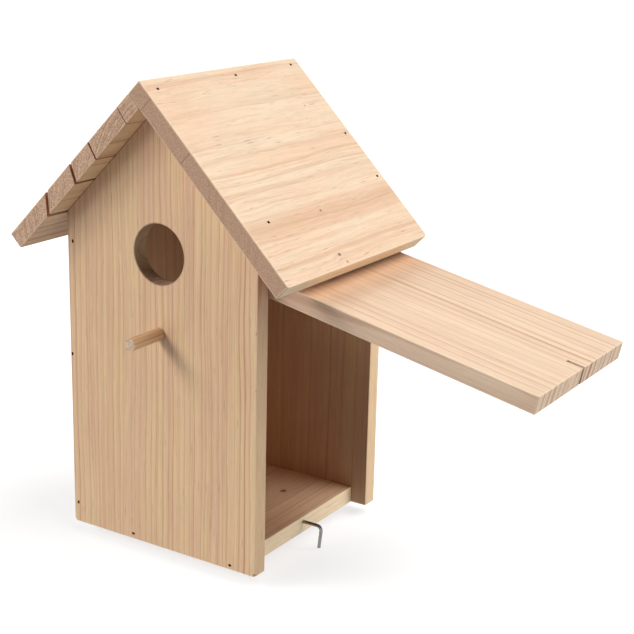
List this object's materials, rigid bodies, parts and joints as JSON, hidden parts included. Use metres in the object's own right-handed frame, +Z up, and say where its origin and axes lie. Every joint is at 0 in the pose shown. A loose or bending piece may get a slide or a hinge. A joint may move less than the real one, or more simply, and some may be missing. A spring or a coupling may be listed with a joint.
{
  "type": "birdhouse",
  "caption": "Gabled pine nest box with a round entrance, dowel perch, overhanging pitched roof and a swing-up side door held by a turning hook.",
  "frame": {"origin": "centre of the underside, on the floor panel, midway between the outer faces of the front and back panels", "axes": "+Z up, -Y out of the front panel with the entrance, +X towards the door side"},
  "size_m": [0.3544, 0.1731, 0.3087],
  "materials": {
    "panel_pine": "sanded, unfinished",
    "floor_pine": "sanded, unfinished",
    "roof_pine": "sanded, unfinished",
    "door_pine": "sanded, unfinished",
    "dowel_wood": "turned, unfinished",
    "brad_steel": "dull dark wire",
    "pin_steel": "bright drawn wire",
    "hook_steel": "zinc plated, satin"
  },
  "bodies": {
    "house": {"front_panel": "panel_pine", "back_panel": "panel_pine", "left_side_panel": "panel_pine", "floor_panel": "floor_pine", "left_roof_panel": "roof_pine", "right_roof_panel": "roof_pine", "perch_dowel": "dowel_wood", "front_hinge_pin": "pin_steel", "back_hinge_pin": "pin_steel", "front_upper_side_brad": "brad_steel", "front_middle_side_brad": "brad_steel", "front_lower_side_brad": "brad_steel", "front_left_floor_brad": "brad_steel", "front_right_floor_brad": "brad_steel", "back_upper_side_brad": "brad_steel", "back_middle_side_brad": "brad_steel", "back_lower_side_brad": "brad_steel", "back_left_floor_brad": "brad_steel", "back_right_floor_brad": "brad_steel", "ridge_front_brad": "brad_steel", "ridge_middle_brad": "brad_steel", "ridge_rear_brad": "brad_steel", "right_roof_front_brad": "brad_steel", "right_roof_rear_upper_brad": "brad_steel", "right_roof_rear_lower_brad": "brad_steel", "left_roof_front_brad": "brad_steel", "left_roof_rear_brad": "brad_steel"},
    "door": {"swing_door": "door_pine"},
    "hook": {"latch_hook": "hook_steel"}
  },
  "joints": [
    {"name": "door_swing", "type": "hinge", "parent": "house", "child": "door", "pos_m": [0.06765, 0, 0.1839], "axis": [0, 1, 0], "range_deg": [-5, 78.4]},
    {"name": "hook_turn", "type": "hinge", "parent": "house", "child": "hook", "pos_m": [0.0688, 0, 0.0077], "axis": [1, 0, 0], "range_deg": [-90, 90]}
  ]
}
